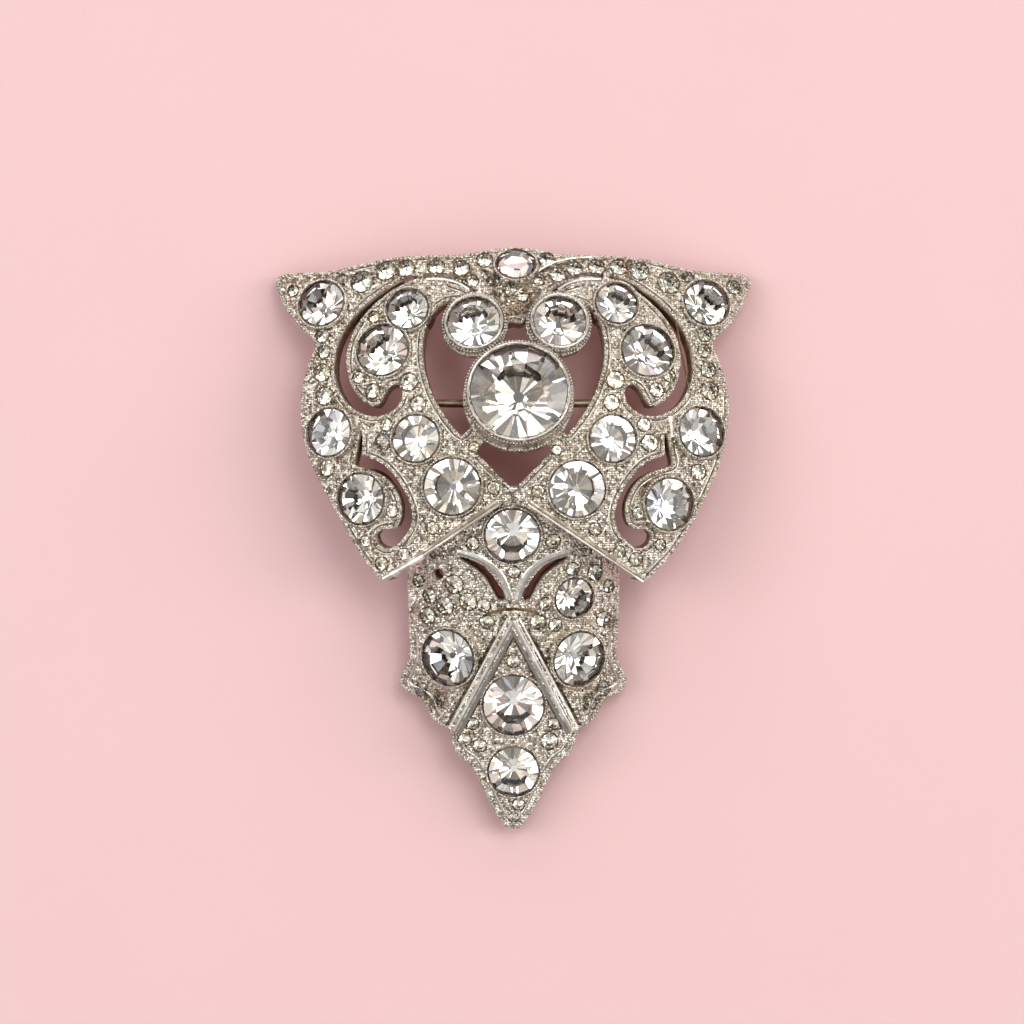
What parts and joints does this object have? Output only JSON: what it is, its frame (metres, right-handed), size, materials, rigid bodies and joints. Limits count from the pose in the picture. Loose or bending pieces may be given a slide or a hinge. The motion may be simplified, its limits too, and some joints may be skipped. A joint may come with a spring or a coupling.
{
  "type": "shoe clip",
  "caption": "Domed, pierced ornament of cast white metal set with foil-backed clear stones, with flared wings over a pointed leaf and a pin across its hollow back.",
  "frame": {"origin": "middle of the bounding box in plan, at the plane that the piece lies on", "axes": "+X to the right and +Y to the top rim as the piece is worn, +Z out of its face to the viewer"},
  "size_m": [0.041, 0.05, 0.0132],
  "materials": {
    "white_metal": "cast tin alloy with worn warm grey plating, beaded edges and darkened recesses",
    "pin_metal": "dulled, grey with wear",
    "main_stones": "clear faceted glass with silver foil behind, so no light passes through",
    "small_stones": "clear faceted glass with aged foil behind"
  },
  "bodies": {
    "root": {"casting": "white_metal", "pin_clasp": "pin_metal", "centre_stone": "main_stones", "bezel_stone_left": "main_stones", "bezel_stone_right": "main_stones", "top_stone": "main_stones", "horn_stone_left": "main_stones", "horn_stone_right": "main_stones", "scroll_small_left": "main_stones", "scroll_small_right": "main_stones", "scroll_large_left": "main_stones", "scroll_large_right": "main_stones", "side_stone_left": "main_stones", "side_stone_right": "main_stones", "vee_upper_left": "main_stones", "vee_upper_right": "main_stones", "vee_lower_left": "main_stones", "vee_lower_right": "main_stones", "hook_stone_left": "main_stones", "hook_stone_right": "main_stones", "tail_centre_stone": "main_stones", "petal_stone": "main_stones", "tail_side_left": "main_stones", "tail_side_right": "main_stones", "leaf_stone": "main_stones", "leaf_point_stone": "main_stones", "rim_stones": "small_stones", "wing_stones_left": "small_stones", "wing_stones_right": "small_stones", "tail_stones": "small_stones", "leaf_small_stones": "small_stones"}
  },
  "joints": []
}
